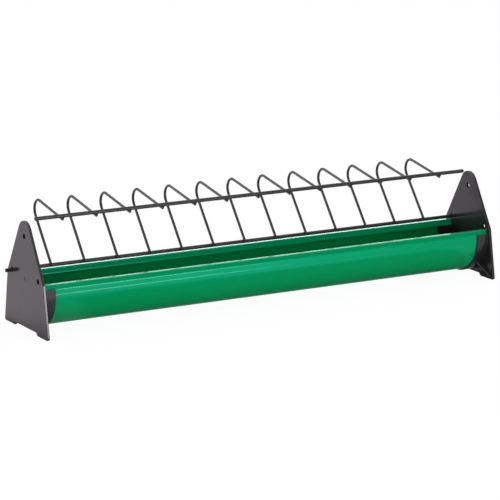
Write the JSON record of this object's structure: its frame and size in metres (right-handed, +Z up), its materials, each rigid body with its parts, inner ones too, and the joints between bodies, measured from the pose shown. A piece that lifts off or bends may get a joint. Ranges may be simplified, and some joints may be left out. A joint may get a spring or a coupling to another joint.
{
  "type": "poultry feed trough",
  "caption": "Long channel feed trough on two end plates with arched feet, and a hinged grille of bent wire hoops that swings over the feed or back out of the way.",
  "frame": {"origin": "on the floor, at the middle of the footprint of the trough with its grille open", "axes": "+X along the channel, +Y from the front lip to the hinge side, +Z up"},
  "size_m": [0.77, 0.1651, 0.1693],
  "materials": {
    "green_plastic": "glossy extruded plastic",
    "black_plastic": "moulded plastic, polished flat faces",
    "black_wire": "dark coated steel wire, semi-gloss"
  },
  "bodies": {
    "trough": {"trough_channel": "green_plastic", "end_plate_left": "black_plastic", "end_plate_right": "black_plastic"},
    "grille": {"hinge_rod": "black_wire", "front_rail": "black_wire", "hoop_wire_01": "black_wire", "hoop_wire_02": "black_wire", "hoop_wire_03": "black_wire", "hoop_wire_04": "black_wire", "hoop_wire_05": "black_wire", "hoop_wire_06": "black_wire", "hoop_wire_07": "black_wire", "hoop_wire_08": "black_wire", "hoop_wire_09": "black_wire", "hoop_wire_10": "black_wire", "hoop_wire_11": "black_wire", "hoop_wire_12": "black_wire", "hoop_wire_13": "black_wire"}
  },
  "joints": [
    {"name": "grille_swing", "type": "hinge", "parent": "trough", "child": "grille", "pos_m": [0, 0.03265, 0.0787], "axis": [1, 0, 0], "range_deg": [-90, 59]}
  ]
}
